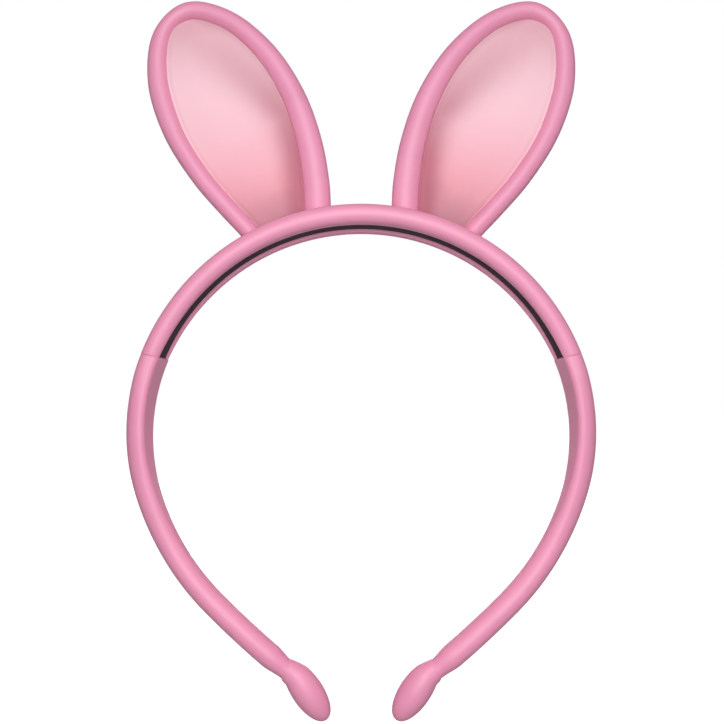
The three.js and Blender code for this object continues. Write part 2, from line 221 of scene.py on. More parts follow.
def grid_faces(rows, cols, wrap_rows, wrap_cols, run, girth):
    """Quads of a grid whose vertex (i, j) is i * cols + j.

    run and girth give the places of its rows and columns on the cloth.
    """
    faces, uvs = [], []
    for i in range(rows if wrap_rows else rows - 1):
        for j in range(cols if wrap_cols else cols - 1):
            i2, j2 = (i + 1) % rows, (j + 1) % cols
            faces.append((i * cols + j, i * cols + j2, i2 * cols + j2, i2 * cols + j))
            uvs.extend((run[i + a], girth[j + b]) for a, b in ((0, 0), (0, 1), (1, 1), (1, 0)))
    return faces, uvs


def shell(name, outer, inner, closed, round_ends=(1, 1)):
    """A thin sheet between two grids of (length, girth) points. closed says that it is a tube.

    round_ends says how far its first and last borders bulge, as shares of a half circle.
    """
    n, m = outer.shape[:2]
    half = np.linalg.norm(outer - inner, axis=2, keepdims=True) / 2
    turns = np.radians((30, 60, 90, 120, 150))
    bent = len(turns)

    def border(at, before):
        ahead = outer[at] - outer[before]
        ahead = ahead / np.linalg.norm(ahead, axis=1)[:, None]
        bulge = half[at] * round_ends[at]
        return [mix(outer[at], inner[at], (1 - math.cos(a)) / 2) + ahead * bulge * math.sin(a)
                for a in turns]

    rows = np.array(list(outer) + border(-1, -2) + list(inner[::-1]) + border(0, 1)[::-1])
    along = lengths(outer[:, m // 2])
    past = np.linspace(0.1, 0.9, bent)
    run = np.concatenate([along, along[-1] + past, along[::-1], -past, -past[-1:]])
    around = lengths(np.vstack([outer[n // 2], outer[n // 2][:1]]))
    faces, uvs = grid_faces(len(rows), m, True, closed, run, around)
    if not closed:
        last = 2 * n + bent - 1
        for j in (0, m - 1):
            loops = [((i, j), (i + 1, j), (last - 1 - i, j), (last - i, j)) for i in range(n - 1)]
            places = list(run[:n - 1]) + [run[0]] * 2
            loops.append([(n - 1 + k, j) for k in range(bent + 2)])
            loops.append([((last + k) % len(rows), j) for k in range(bent + 2)])
            for loop, place in zip(loops, places):
                face = tuple(row * m + column for row, column in loop)
                faces.append(face if j == 0 else face[::-1])
                uvs.extend([(place, around[j])] * len(face))
    verts = rows.reshape(-1, 3)
    faces, uvs = facing_out(verts, faces, uvs)
    return new_object(name, verts, faces, uvs)


def solid(name, rings):
    """A filled body through closed rings of points, capped at both ends."""
    rings = np.asarray(rings, float)
    n, m = rings.shape[:2]
    run = lengths(rings.mean(axis=1))
    around = lengths(np.vstack([rings[n // 2], rings[n // 2][:1]]))
    faces, uvs = grid_faces(n, m, False, True, run, around)
    faces.append(tuple(range(m - 1, -1, -1)))
    faces.append(tuple((n - 1) * m + j for j in range(m)))
    uvs.extend([(0, 0)] * (2 * m))
    verts = rings.reshape(-1, 3)
    faces, uvs = facing_out(verts, faces, uvs)
    return new_object(name, verts, faces, uvs)


def mirrored(obj, name):
    """A copy on the other side of the hoop."""
    mesh = obj.data.copy()
    twin = bpy.data.objects.new(name, mesh)
    mesh.name = name
    bpy.context.scene.collection.objects.link(twin)
    mesh.transform(Matrix.Scale(-1, 4, Vector((1, 0, 0))))
    mesh.flip_normals()
    mesh.update()
    return twin


# ------------------------------------------------------------------ materials


class Value:
    """A node's output. Arithmetic on it adds math nodes."""

    def __init__(self, tree, socket):
        self.tree, self.socket = tree, socket

    def math(self, operation, *inputs):
        node = self.tree.nodes.new("ShaderNodeMath")
        node.operation = operation
        for into, value in zip(node.inputs, inputs):
            if isinstance(value, Value):
                self.tree.links.new(value.socket, into)
            else:
                into.default_value = value
        return Value(self.tree, node.outputs[0])

    def __add__(self, other):
        return self.math("ADD", self, other)

    def __sub__(self, other):
        return self.math("SUBTRACT", self, other)

    def __rsub__(self, other):
        return self.math("SUBTRACT", other, self)

    def __mul__(self, other):
        return self.math("MULTIPLY", self, other)

    def __truediv__(self, other):
        return self.math("DIVIDE", self, other)

    def __abs__(self):
        return self.math("ABSOLUTE", self)

    def larger(self, other):
        return self.math("MAXIMUM", self, other)

    def above(self, other):
        return self.math("GREATER_THAN", self, other)

    def wave(self, pitch):
        """A sine wave that repeats every pitch metres."""
        return self.math("SINE", self * (2 * math.pi / pitch))

    def bell(self, width):
        """1 where the value is 0, falling away on both sides."""
        share = self / width
        return self.math("POWER", math.e, share * share * -1.0)


class Nodes:
    """A material's node tree, with short names for what the materials share."""

    def __init__(self, name, **surface):
        self.material = bpy.data.materials.new(name)
        self.material.use_nodes = True
        self.tree = self.material.node_tree
        self.tree.nodes.clear()
        self.output = self.add("ShaderNodeOutputMaterial")
        self.shader = self.add("ShaderNodeBsdfPrincipled")
        self.feed(self.value(self.shader), self.output, "Surface")
        for socket, value in surface.items():
            self.shader.inputs[socket.replace("_", " ")].default_value = value

    def add(self, kind, **values):
        node = self.tree.nodes.new(kind)
        for key, value in values.items():
            setattr(node, key, value)
        return node

    def value(self, node, output=0):
        return Value(self.tree, node.outputs[output])

    def feed(self, value, node, into):
        self.tree.links.new(value.socket, node.inputs[into])

    def noise(self, scale, detail, roughness, seed):
        shift = self.add("ShaderNodeMapping")
        shift.inputs["Location"].default_value = (seed, seed * 0.37, seed * 0.61)
        self.feed(self.value(self.add("ShaderNodeTexCoord"), "Object"), shift, "Vector")
        node = self.add("ShaderNodeTexNoise")
        node.inputs["Scale"].default_value = scale
        node.inputs["Detail"].default_value = detail
        node.inputs["Roughness"].default_value = roughness
        self.feed(self.value(shift), node, "Vector")
        return self.value(node, "Fac")

    def cloth_place(self):
        """Distance along the piece and round it, in metres. On the ear's panels, across it and up it."""
        split = self.add("ShaderNodeSeparateXYZ")
        self.feed(self.value(self.add("ShaderNodeUVMap", uv_map="cloth")), split, "Vector")
        return self.value(split, "X"), self.value(split, "Y")

    def tones(self, factor, stops, blending="EASE"):
        """A colour that follows the factor. stops are (factor, colour)."""
        ramp = self.add("ShaderNodeValToRGB")
        ramp.color_ramp.interpolation = blending
        while len(ramp.color_ramp.elements) < len(stops):
            ramp.color_ramp.elements.new(0.5)
        for element, (at, colour) in zip(ramp.color_ramp.elements, stops):
            element.position = at
            element.color = (*colour, 1)
        self.feed(factor, ramp, "Fac")
        return self.value(ramp, "Color")

    def rough(self, factor, least, most):
        spread = self.add("ShaderNodeMapRange")
        spread.inputs["To Min"].default_value = least
        spread.inputs["To Max"].default_value = most
        self.feed(factor, spread, "Value")
        self.feed(self.value(spread), self.shader, "Roughness")

    def bump(self, height, distance):
        node = self.add("ShaderNodeBump")
        node.inputs["Strength"].default_value = 1.0
        node.inputs["Distance"].default_value = distance
        self.feed(height, node, "Height")
        self.feed(self.value(node), self.shader, "Normal")


def srgb(red, green, blue):
    """Linear colour from display values out of 255."""
    return tuple(c / 12.92 if c <= 0.04045 else ((c + 0.055) / 1.055) ** 2.4
                 for c in (red / 255, green / 255, blue / 255))


def shade(colour, share):
    return tuple(min(1.0, c * share) for c in colour)


def fabric(name, colour, sewn=False):
    """Close-woven satin: a twill of fine threads and soft mottling. sewn adds a stitched seam, with painted
    shade in its groove.
    """
    n = Nodes(name, Sheen_Weight=0.05, Sheen_Roughness=0.45, Sheen_Tint=(1.0, 0.7, 0.85, 1),
              Specular_IOR_Level=0.75)
    length, girth = n.cloth_place()
    warp, weft = (length + girth * 0.5).wave(TWILL_PITCH), girth.wave(TWILL_PITCH)
    weave = warp * (weft * 0.4 + 0.6)
    cloud = n.noise(55.0, 4.0, 0.6, seed=len(name))
    lint = n.noise(2600.0, 2.0, 0.5, seed=3.1)
    height = weave * 0.5 + lint * 0.3
    tone = cloud * 0.75 + (weave + 1.0) * 0.06
    if sewn:
        groove_and_shade = girth.bell(0.00035)
        row = (abs(girth) - 0.0009).bell(0.00016)
        stitches = row * length.wave(STITCH_PITCH).above(-0.35)
        height = height + stitches * 5.0 - groove_and_shade * 16.0
        # Painted shade: the colour darkens along the seam's groove.
        tone = tone - groove_and_shade * 0.5
    base = n.tones(tone, ((0.12, shade(colour, 0.9)), (0.45, colour), (0.8, shade(colour, 1.04))))
    n.feed(base, n.shader, "Base Color")
    n.rough(cloud, 0.38, 0.5)
    n.bump(height, 0.000008)
    return n.material


def panel_fabric(name):
    """Pale satin, peach low down, with painted shade at the root, down the inner side and over the top."""
    n = Nodes(name, Roughness=0.5, Sheen_Weight=0.08, Sheen_Roughness=0.4, Sheen_Tint=(1.0, 0.9, 0.93, 1),
              Specular_IOR_Level=0.3)
    across, up = n.cloth_place()
    weave = across.wave(SATIN_PITCH) * up.wave(SATIN_PITCH)
    drift = (n.noise(38.0, 3.0, 0.55, seed=5.0) - 0.5) * 0.004
    # Up the panel: painted shade at the root, then peach, then pale satin.
    base = n.tones((up + drift * 3.0) / 0.08, PANEL_PEACH_AND_ROOT_SHADE, "B_SPLINE")

    # Painted shade: the colour darkens in a band down the ear's inner side, most strongly low down, and
    # over its top, where the hollow and the rim shade the panel.
    rise = up - 0.032
    edge = 0.0116 - rise * rise * 5.8
    inwards = ((up - 0.033) * 0.36).larger(0.0)
    side = (edge + drift - across - inwards).bell(inwards * 0.6 + 0.005)
    low = (up - 0.018).bell(0.022) * 0.45
    over = (0.0735 - up + drift).larger(0.0).bell(0.013)
    painted_shade = (side * (low + 0.34)).larger(over * 0.42)
    mixed = n.add("ShaderNodeMix", data_type="RGBA", blend_type="MIX")
    mixed.inputs["B"].default_value = (*PANEL_SHADE_COLOUR, 1)
    n.feed(painted_shade, mixed, "Factor")
    n.feed(base, mixed, "A")
    n.feed(n.value(mixed, "Result"), n.shader, "Base Color")
    n.bump(weave * 0.5 + n.noise(2400.0, 3.0, 0.5, seed=0.0) * 0.4, 0.00001)
    return n.material


def flock(name):
    """Black ribbon with a short dense pile."""
    n = Nodes(name, Roughness=0.9, Sheen_Weight=0.08, Sheen_Roughness=0.6,
              Sheen_Tint=(0.8, 0.66, 0.72, 1))
    ribs = n.cloth_place()[0].wave(RIB_PITCH)
    pile = n.noise(3200.0, 3.0, 0.7, seed=1.0)
    worn = n.noise(160.0, 3.0, 0.6, seed=8.0)
    base = n.tones(pile * 0.5 + worn * 0.5, FLOCK_TONES)
    n.feed(base, n.shader, "Base Color")
    n.bump(ribs * 0.4 + pile, 0.00004)
    return n.material


def foam(name):
    """Off-white wadding with open cells."""
    n = Nodes(name, Roughness=0.95)
    cells = n.noise(900.0, 4.0, 0.65, seed=2.0)
    cloud = n.noise(120.0, 3.0, 0.6, seed=6.0)
    n.feed(n.tones((cells + cloud) * 0.5, FOAM_TONES), n.shader, "Base Color")
    n.bump(cells, 0.0002)
    return n.material


def plastic(name):
    """Moulded plastic: a fine spark-eroded grain and faint flow marks."""
    n = Nodes(name)
    grain = n.noise(2200.0, 2.0, 0.5, seed=4.0)
    flow = n.noise(70.0, 2.0, 0.5, seed=9.0)
    n.feed(n.tones(flow, PLASTIC_TONES), n.shader, "Base Color")
    n.rough(grain, 0.42, 0.58)
    n.bump(grain, 0.00001)
    return n.material


def wire_steel(name):
    """Drawn steel wire with fine draw marks and a few dull patches."""
    n = Nodes(name, Metallic=1.0)
    marks = n.noise(1400.0, 3.0, 0.6, seed=7.0)
    dull = n.noise(180.0, 3.0, 0.6, seed=11.0)
    n.feed(n.tones(dull, STEEL_TONES), n.shader, "Base Color")
    n.rough(dull, 0.25, 0.5)
    n.bump(marks, 0.000008)
    return n.material


TWILL_PITCH, SATIN_PITCH, RIB_PITCH, STITCH_PITCH = 0.00042, 0.00036, 0.0007, 0.0024
PINK = srgb(243, 160, 192)
RIM_PINK = srgb(240, 158, 190)
# The colour of the painted shade on the ear's panels.
PANEL_SHADE_COLOUR = srgb(182, 98, 118)
# Up the ear's panel: painted shade at the root, darker and greyer where the crown shades it, then peach,
# then pale.
PANEL_PEACH_AND_ROOT_SHADE = (
    (0.0, srgb(188, 133, 145)), (0.08, srgb(214, 150, 163)), (0.16, srgb(240, 170, 182)),
    (0.26, srgb(249, 184, 196)), (0.4, srgb(252, 201, 211)), (0.6, srgb(253, 214, 223)),
    (1.0, srgb(252, 214, 223)))
FLOCK_TONES = ((0.3, srgb(24, 15, 20)), (0.62, srgb(42, 29, 36)), (0.85, srgb(66, 48, 57)))
FOAM_TONES = ((0.2, srgb(214, 206, 196)), (0.55, srgb(242, 237, 230)), (0.9, srgb(250, 247, 242)))
PLASTIC_TONES = ((0.25, srgb(222, 214, 206)), (0.6, srgb(235, 229, 223)), (0.9, srgb(241, 236, 231)))
STEEL_TONES = ((0.3, srgb(150, 150, 152)), (0.6, srgb(188, 190, 194)), (0.9, srgb(205, 206, 208)))

sleeve_cloth = fabric("pink_sleeve", PINK)
arm_cloth = fabric("pink_arm", PINK, sewn=True)
rim_cloth = fabric("pink_rim", RIM_PINK, sewn=True)
back_cloth = fabric("pink_back", RIM_PINK)
panel_cloth = panel_fabric("pale_panel")
strip_cloth = flock("grip_strip")
wadding = foam("padding")
band_plastic = plastic("band_core")
steel = wire_steel("ear_wire")


def dress(obj, material):
    obj.data.materials.clear()
    obj.data.materials.append(material)
    return obj


# ------------------------------------------------------------------ crown


def crown_depth(angle):
    return mix(CROWN_DEPTH, CROWN_END_DEPTH, (angle / CROWN_SPREAD) ** 2)


def arc(centre, radius, start, end, count):
    turn = np.radians(np.linspace(start, end, count))
    return np.stack([centre[0] + radius * np.cos(turn), centre[1] + radius * np.sin(turn)], 1)


def sleeve_path(depth, inset):
    """The sleeve's section, from the front tuck round the outside to the back one, drawn in by an inset."""
    centre, radius = depth / 2 - ROLL, ROLL - inset
    edge, lip = STRIP_HALF + inset / 2, LIP - inset * 0.4
    past = float(max(edge + lip - centre, 0))
    low = -math.sqrt(radius ** 2 - past ** 2)
    tuck = np.linspace((TUCK, -edge), (low + lip, -edge), 4)[:-1]
    front = arc((low + lip, -edge - lip), lip, 90, 180, 8)[:-1]
    roll = arc((0, -centre), radius, 180 + math.degrees(math.asin(past / radius)), 360, 60)
    under = spaced(np.vstack([[(low, -edge - lip)], roll[1 if past > 0 else 0:]]), 46)
    across = np.linspace(-centre, 0, 12)[1:]
    swell = SWELL * float(smooth(depth, CROWN_END_DEPTH, 18.8)) * (1 - (across / centre) ** 2) ** 2
    half = np.vstack([tuck, front, under, np.stack([radius + swell, across], 1)])
    return np.vstack([half, half[:-1][::-1] * (1, -1)])


def seam_shift(u):
    """The seams with the arms are cut on a slant: they lie further down the arm on the outer face."""
    return SEAM_TILT * (u + 3.5)


def along_crown(section, start, end, count):
    """Lays section(depth), a line of (u, v), at angles along the crown."""
    made = []
    for angle in np.linspace(start, end, count):
        line = section(crown_depth(angle))
        lean = float(smooth(abs(angle), CROWN_SPREAD - SEAM_SETTLE, CROWN_SPREAD))
        shift = lean * math.copysign(1, angle) * seam_shift(line[:, 0])
        turn = angle + np.degrees(shift / MID_RADIUS)
        made.append(on_hoop(turn, MID_RADIUS + line[:, 0], line[:, 1]))
    return np.array(made)


def crown_shell(name, start, end, count, inset, wall, round_ends):
    outer, inner = (along_crown(lambda depth: sleeve_path(depth, drawn), start, end, count)
                    for drawn in (inset, inset + wall))
    return shell(name, outer, inner, closed=False, round_ends=round_ends)


def foam_path(depth):
    """The foam in both rolls and over the plastic band, with a channel for the band."""
    side = BAND_HALF * (depth / 2 - 3) / (CROWN_DEPTH / 2 - 3)
    near, far = BAND_FACES
    channel = np.array([(near, side), (far, side), (far, -side), (near, -side)])
    return np.vstack([sleeve_path(depth, WALL + 0.3)[3:-3], channel])


def ribbon_path(_):
    """The strip is a flat bar with rounded corners, whatever the crown's depth."""
    (near, far), side = STRIP_FACES, STRIP_HALF - 0.1 - STRIP_CORNER
    corners = ((near, side, 180), (far, side, 90), (far, -side, 0), (near, -side, -90))
    return np.vstack([arc((u, v), STRIP_CORNER, turn, turn - 90, 5) for u, v, turn in corners])


def build_crown():
    fold, seam = CROWN_SPREAD - 0.2, CROWN_SPREAD - HEM_SPREAD
    cover = crown_shell("crown_sleeve", fold, -fold, 180, 0, WALL, (0.6, 0.6))
    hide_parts("crown_cover")
    dress(cover, sleeve_cloth)
    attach(cover, "crown")

    hem = crown_shell("left_hem", fold - 0.1, seam, 9, WALL + 0.05, HEM_WALL, (0.2, 0.2))
    twin = mirrored(hem, "right_hem")
    for piece, side in ((hem, "left"), (twin, "right")):
        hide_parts(f"{side}_crown_hem")
        dress(piece, sleeve_cloth)
        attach(piece, "crown")

    pad = solid("crown_foam", along_crown(foam_path, seam - 0.4, -seam + 0.4, 120))
    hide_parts("crown_padding")
    dress(pad, wadding)
    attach(pad, "crown")

    strip = solid("grip_ribbon", along_crown(ribbon_path, CROWN_SPREAD + 0.3, -CROWN_SPREAD - 0.3, 180))
    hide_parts("grip_strip")
    dress(strip, strip_cloth)
    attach(strip, "crown")


# ------------------------------------------------------------------ arms


def arm_line(distance):
    """The arm's middle at a distance from the crown's end, with its outward direction."""
    angle = math.radians(CROWN_SPREAD)
    x, _, z = on_hoop(CROWN_SPREAD, MID_RADIUS, 0.0)
    left = distance
    for radius, sweep in ARM_TURNS:
        run = left if distance < 0 else min(left, radius * math.radians(sweep))
        turned = angle + run / radius
        x += radius * (math.sin(angle) - math.sin(turned))
        z += radius * (math.cos(turned) - math.cos(angle))
        angle, left = turned, left - run
    along = np.array([-math.cos(angle), 0, -math.sin(angle)])
    point = np.array([x, 0, z]) + along * max(left, 0)
    return point, along, np.array([-math.sin(angle), 0, math.cos(angle)])


ARM_LENGTH = sum(radius * math.radians(sweep) for radius, sweep in ARM_TURNS)
ARM_END = ARM_LENGTH + 2.2


def arm_section(distance, inset_share, count=14):
    """A rounded section as (u, v), flatter inside near the crown, and gathered at the teardrop.

    inset_share draws it in by a share of half its thickness. Its end under the crown's hem is drawn in too.
    """
    share = smooth(distance, 4, 66)
    thick, deep = (mix(top, low, share) for top, low in zip(ARM_TOP, ARM_LOW))
    gather = (1 - 0.2 * smooth(distance, ARM_LENGTH - 7, ARM_LENGTH)
              - 0.12 * smooth(distance, ARM_LENGTH, ARM_END))
    half = thick / 2 * gather
    side = max(deep / 2 * gather, half)
    inner_round = mix(1.9, half, smooth(distance, 20, 78))
    outer_round = mix(min(half, 2 * half - inner_round), 2 * half - inner_round, smooth(distance, 1, 18))
    inset = inset_share * half + 1.8 * (1 - smooth(distance, -0.9, 0.1))
    inner_round = max(inner_round - inset, 0.15)
    outer_round = max(outer_round - inset, 0.15)
    half, side = half - inset, side - inset
    return np.vstack([
        arc((-half + inner_round, side - inner_round), inner_round, 180, 90, count),
        arc((half - outer_round, side - outer_round), outer_round, 90, 0, count)[1:],
        arc((half - outer_round, -side + outer_round), outer_round, 0, -90, count),
        arc((-half + inner_round, -side + inner_round), inner_round, -90, -180, count)[1:]])


def arm_rings(stations, inset_share):
    made = []
    for d in stations:
        point, along, out = arm_line(d)
        section = arm_section(d, inset_share)
        lean = (1 - smooth(d, 0, 12)) * seam_shift(section[:, :1])
        made.append(point + lean * along + section[:, :1] * out + section[:, 1:] * np.array([0, 1, 0]))
    return np.array(made)


def build_arms():
    stations = np.concatenate([
        np.linspace(-1.2, 0.6, 14), np.linspace(0.9, 12, 18), np.linspace(12.8, ARM_LENGTH - 9.5, 100),
        np.linspace(ARM_LENGTH - 9, ARM_END, 24)])
    start, end = (Vector(arm_line(d)[0]) * MM for d in ARM_BEND)
    pieces = []
    cover = shell("left_arm_sleeve", arm_rings(stations, 0), arm_rings(stations, 0.26), closed=True)
    pieces.append((cover, "arm_cover", arm_cloth, "pink_sleeve"))
    inside = np.linspace(0.4, ARM_LENGTH - 0.6, 100)
    filling = shell("left_arm_wadding", arm_rings(inside, 0.37), arm_rings(inside, 0.66), closed=True,
                    round_ends=(0.2, 0.2))
    pieces.append((filling, "arm_padding", wadding, "padding"))
    core = solid("left_arm_band", arm_rings(inside, 0.78))
    pieces.append((core, "arm_core", band_plastic, "band_core"))
    for piece, node, material, slot in pieces:
        dress(piece, material)
        twin = mirrored(piece, piece.name.replace("left_", "right_"))
        for made, side in ((piece, "left"), (twin, "right")):
            sign = Vector((1, 1, 1)) if side == "left" else Vector((-1, 1, 1))
            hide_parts(f"{side}_{node}")
            start * sign
            end * sign
            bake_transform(made)
            if node == "arm_cover":
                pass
            elif node == "arm_padding":
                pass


# ------------------------------------------------------------------ teardrops


def turned(vector, angle):
    """Rotates a direction about +Y."""
    c, s = math.cos(angle), math.sin(angle)
    return np.array([vector[0] * c + vector[2] * s, vector[1], -vector[0] * s + vector[2] * c])


def tip_rings(outline, around):
    """Rings round the teardrop's axis, slanted at the neck, where the arm comes in at an angle."""
    point, along, out = arm_line(ARM_LENGTH)
    along, out = (turned(way, math.radians(TIP_TURN)) for way in (along, out))
    angle = np.linspace(0, 2 * math.pi, around, endpoint=False)
    made = []
    for run, radius in outline:
        settled = float(smooth(run, -0.5, TIP_SETTLE))
        x, depth = radius * np.cos(angle), radius * np.sin(angle)
        tilted = run + x * math.tan(math.radians(TIP_SLANT)) * (1 - settled)
        made.append(point + tilted[:, None] * along + (x - settled * TIP_OFFSET)[:, None] * out
                    + depth[:, None] * np.array([0, 1, 0]))
    return np.array(made)


def build_tips():
    outline = spaced(spline(TIP_OUTLINE, 8), 52)
    outline[:, 1] = np.maximum(outline[:, 1], 0.02)
    drop = solid("left_tip_sleeve", tip_rings(outline, 56))
    dress(drop, sleeve_cloth)
    twin = mirrored(drop, "right_tip_sleeve")
    for made, side in ((drop, "left"), (twin, "right")):
        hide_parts(f"{side}_tip_cover")
        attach(made, f"{side}_arm")


# ------------------------------------------------------------------ ears


def stand(points):
    """From the ear's frame (u, depth, v) to the headband's."""
    root = on_hoop(EAR_ANGLE, HOOP_RADIUS, 0.0)
    turn = math.radians(EAR_ANGLE)
    p = np.asarray(points, float)
    x = p[..., 0] * math.cos(turn) - p[..., 2] * math.sin(turn)
    z = p[..., 0] * math.sin(turn) + p[..., 2] * math.cos(turn)
    return np.stack([x, p[..., 1], z], -1) + root


def rim_centre(count):
    line = spaced(spline(RIM_LINE, 24), 400)
    drop = HOOP_RADIUS - np.sqrt(HOOP_RADIUS ** 2 - line[:, 0] ** 2)
    kept = line[line[:, 1] > -drop - 1.6]
    return spaced(kept, count)


def rim_reach(count):
    """How far the rim reaches from its wire: outwards, and in over the panel."""
    share, outwards, inwards = spline(RIM_REACH, 12).T
    at = np.linspace(0, 1, count)
    return np.interp(at, share, outwards), np.interp(at, share, inwards)


def rim_rings(count, inset, around, start=0.0):
    """Rings of the rim's oval section, drawn in by an inset."""
    line = rim_centre(count)
    angle = np.linspace(0, 2 * math.pi, around, endpoint=False) + start
    rings = []
    for p, t, outwards, inwards in zip(line, tangents(line), *rim_reach(count)):
        side = np.array([t[1], -t[0]])
        across = (inwards - outwards) / 2 + ((inwards + outwards) / 2 - inset) * np.cos(angle)
        offset = across[:, None] * side
        depth = (inset - RIM_RADIUS) * np.sin(angle)
        rings.append(np.stack([p[0] + offset[:, 0], depth, p[1] + offset[:, 1]], 1))
    return stand(np.array(rings))


def wire_rings(count, radius, around):
    line = rim_centre(count)
    angle = np.linspace(0, 2 * math.pi, around, endpoint=False)
    rings = []
    for p, t in zip(line, tangents(line)):
        offset = radius * np.cos(angle)[:, None] * np.array([t[1], -t[0]])
        rings.append(np.stack([p[0] + offset[:, 0], -radius * np.sin(angle), p[1] + offset[:, 1]], 1))
    return stand(np.array(rings))


def panel_grid(inset, rows, around):
    """Points inside the rim on rings round the ear's middle, close together near the edge."""
    line = rim_centre(around)
    along = tangents(line)
    reach = rim_reach(around)[1] - RIM_RADIUS + inset
    edge = line + np.stack([along[:, 1], -along[:, 0]], 1) * reach[:, None]
    foot = np.linspace(edge[-1], edge[0], 14)[1:-1]
    loop = np.vstack([edge, foot])
    share = 1 - (1 - np.linspace(0, 1, rows)) ** 1.7
    middle = np.array(EAR_MIDDLE)
    return middle + share[:, None, None] * (loop - middle)[None]


def from_rim(points):
    """Distances from the rim's outer side, and from its inner side and top, and the points' heights.

    Each distance is the gap beyond the rim's edge, plus RIM_RADIUS.
    """
    line = rim_centre(240)
    wide = rim_reach(240)[1] - RIM_RADIUS
    flat = points.reshape(-1, 2)
    top = int(np.argmax(line[:, 1])) - 14
    gaps = []
    for part in (slice(0, top), slice(top, None)):
        gap = np.full(len(flat), 1e9)
        for p, more in zip(line[part], wide[part]):
            gap = np.minimum(gap, np.hypot(*(flat - p).T) - more)
        gaps.append(gap.reshape(points.shape[:-1]))
    return gaps + [points[..., 1]]


# The depths below are in millimetres behind the ear's middle plane. The photograph doesn't show depth,
# so the front face's were set by comparing the shading of renders with it, and the back is a guess.


def dish(gaps):
    """How far back the front panel's face lies: a rolled edge, then a hollow, steepest low and inside."""
    outer, inner, up = gaps
    loose = smooth(up, 24, 56)
    start, run, power = mix(4.1, 2.7, loose), mix(4.8, 9.0, loose), mix(1.8, 1.1, loose)
    gentle = 1 - np.exp(-(np.maximum(outer - 2.6, 0) / 9.5) ** 1.3)
    steep = 1 - np.exp(-(np.maximum(inner - start, 0) / run) ** power)
    lip = 0.35 * np.exp(-((np.minimum(outer, inner) - 3.15) / 0.7) ** 2)
    edge = mix(-0.9, 0.4, smooth(outer - inner, -1, 8))
    return mix(edge, 4.0, gentle * steep) - lip


def puff(gaps):
    """How far back the free puff of the back panel reaches."""
    return mix(1.0, 5.6, 1 - np.exp(-(np.maximum(np.minimum(*gaps[:2]) - 2.6, 0) / 6.5) ** 1.4))


def backing(gaps):
    """How far back the back panel's plain face lies: a puff that clears the hollow in front of it."""
    least, free = dish(gaps) + 2.0, puff(gaps)
    return free + np.log1p(np.exp(3 * (least - free))) / 3


def between(gaps):
    """How far back the filling's rear face lies, inside the back panel and behind the front one."""
    return np.maximum(puff(gaps) - 1.7, dish(gaps) + 1.05)


def blown_out(inset, rows, around):
    """The back panel's depths, from a cloth held at the rim, cut full and pushed by the wadding."""
    grid = panel_grid(inset, rows, around)
    gaps = from_rim(grid)
    depths = backing(gaps)
    n, m = grid.shape[:2]
    at_first = mix(1.0, depths, 0.35)
    points = np.stack([grid[..., 0], at_first, grid[..., 1]], -1) * CLOTH_SCALE
    verts = np.vstack([points[1:].reshape(-1, 3), points[:1, 0]])
    faces = []
    for j in range(m):
        j2 = (j + 1) % m
        faces.append(((n - 1) * m, j, j2))
        for i in range(n - 2):
            faces.append((i * m + j, (i + 1) * m + j, (i + 1) * m + j2, i * m + j2))
    mesh = bpy.data.meshes.new("cloth")
    mesh.from_pydata(verts.tolist(), [], faces)
    if sum(face.normal.y for face in mesh.polygons) < 0:
        mesh.flip_normals()
    sheet = bpy.data.objects.new("cloth", mesh)
    bpy.context.scene.collection.objects.link(sheet)
    held = sheet.vertex_groups.new(name="held")
    held.add(list(range((n - 1 - HELD_ROWS) * m, (n - 1) * m)), 1.0, "REPLACE")
    cloth = sheet.modifiers.new("cloth", "CLOTH")
    settings = cloth.settings
    settings.quality = 6
    settings.mass = 0.15
    settings.tension_stiffness = settings.compression_stiffness = 12
    settings.shear_stiffness = 4
    settings.bending_stiffness = 0.2
    settings.air_damping = 2
    settings.vertex_group_mass = "held"
    settings.shrink_min = -FULLNESS
    settings.use_pressure = True
    settings.uniform_pressure_force = PRESSURE
    settings.effector_weights.gravity = 0
    cloth.point_cache.frame_start, cloth.point_cache.frame_end = 1, SETTLE_FRAMES
    for step in range(1, SETTLE_FRAMES + 1):
        bpy.context.scene.frame_set(step)
    settled = sheet.evaluated_get(bpy.context.evaluated_depsgraph_get()).data
    made = np.array([v.co.y for v in settled.vertices]) / CLOTH_SCALE
    bpy.data.objects.remove(sheet)
    bpy.context.scene.frame_set(1)
    out = np.vstack([np.full((1, m), made[-1]), made[:-1].reshape(n - 1, m)])
    fuller = out - depths
    for _ in range(SMOOTHING):
        sides = (np.roll(fuller, 1, 1) + np.roll(fuller, -1, 1)) / 2
        fuller[1:-1] = (fuller[:-2] + fuller[2:] + 2 * sides[1:-1]) / 4
    low, high = FULLER
    middle, reach = (low + high) / 2, (high - low) / 2
    return depths + middle + reach * np.tanh((fuller - middle) / reach)


def panel_layers(name, front, back, inset, rows=34, around=150):
    """A closed body between two faces, given as functions of the distances from the rim."""
    grid = panel_grid(inset, rows, around)
    gaps = from_rim(grid)
    n, m = grid.shape[:2]
    size = (n - 1) * m
    layers = []
    for depth in (front(gaps), back(gaps)):
        points = stand(np.stack([grid[..., 0], depth, grid[..., 1]], -1))
        layers.append(points[1:].reshape(-1, 3))
        layers.append(points[:1, 0])
    verts = np.vstack([layers[0], layers[2], layers[1], layers[3]])
    place = grid[1:].reshape(-1, 2)
    place = np.vstack([place, place, [EAR_MIDDLE] * 2])
    faces = []
    for side in (0, 1):
        base = side * size
        order = 1 if side == 0 else -1
        for j in range(m):
            j2 = (j + 1) % m
            faces.append((2 * size + side, base + j2, base + j)[::order])
            for i in range(n - 2):
                low, high = base + i * m, base + (i + 1) * m
                faces.append((low + j, low + j2, high + j2, high + j)[::order])
    last = (n - 2) * m
    for j in range(m):
        j2 = (j + 1) % m
        faces.append((last + j, last + j2, size + last + j2, size + last + j))
    uvs = [tuple(place[k]) for f in faces for k in f]
    faces, uvs = facing_out(verts, faces, uvs)
    return new_object(name, verts, faces, uvs)


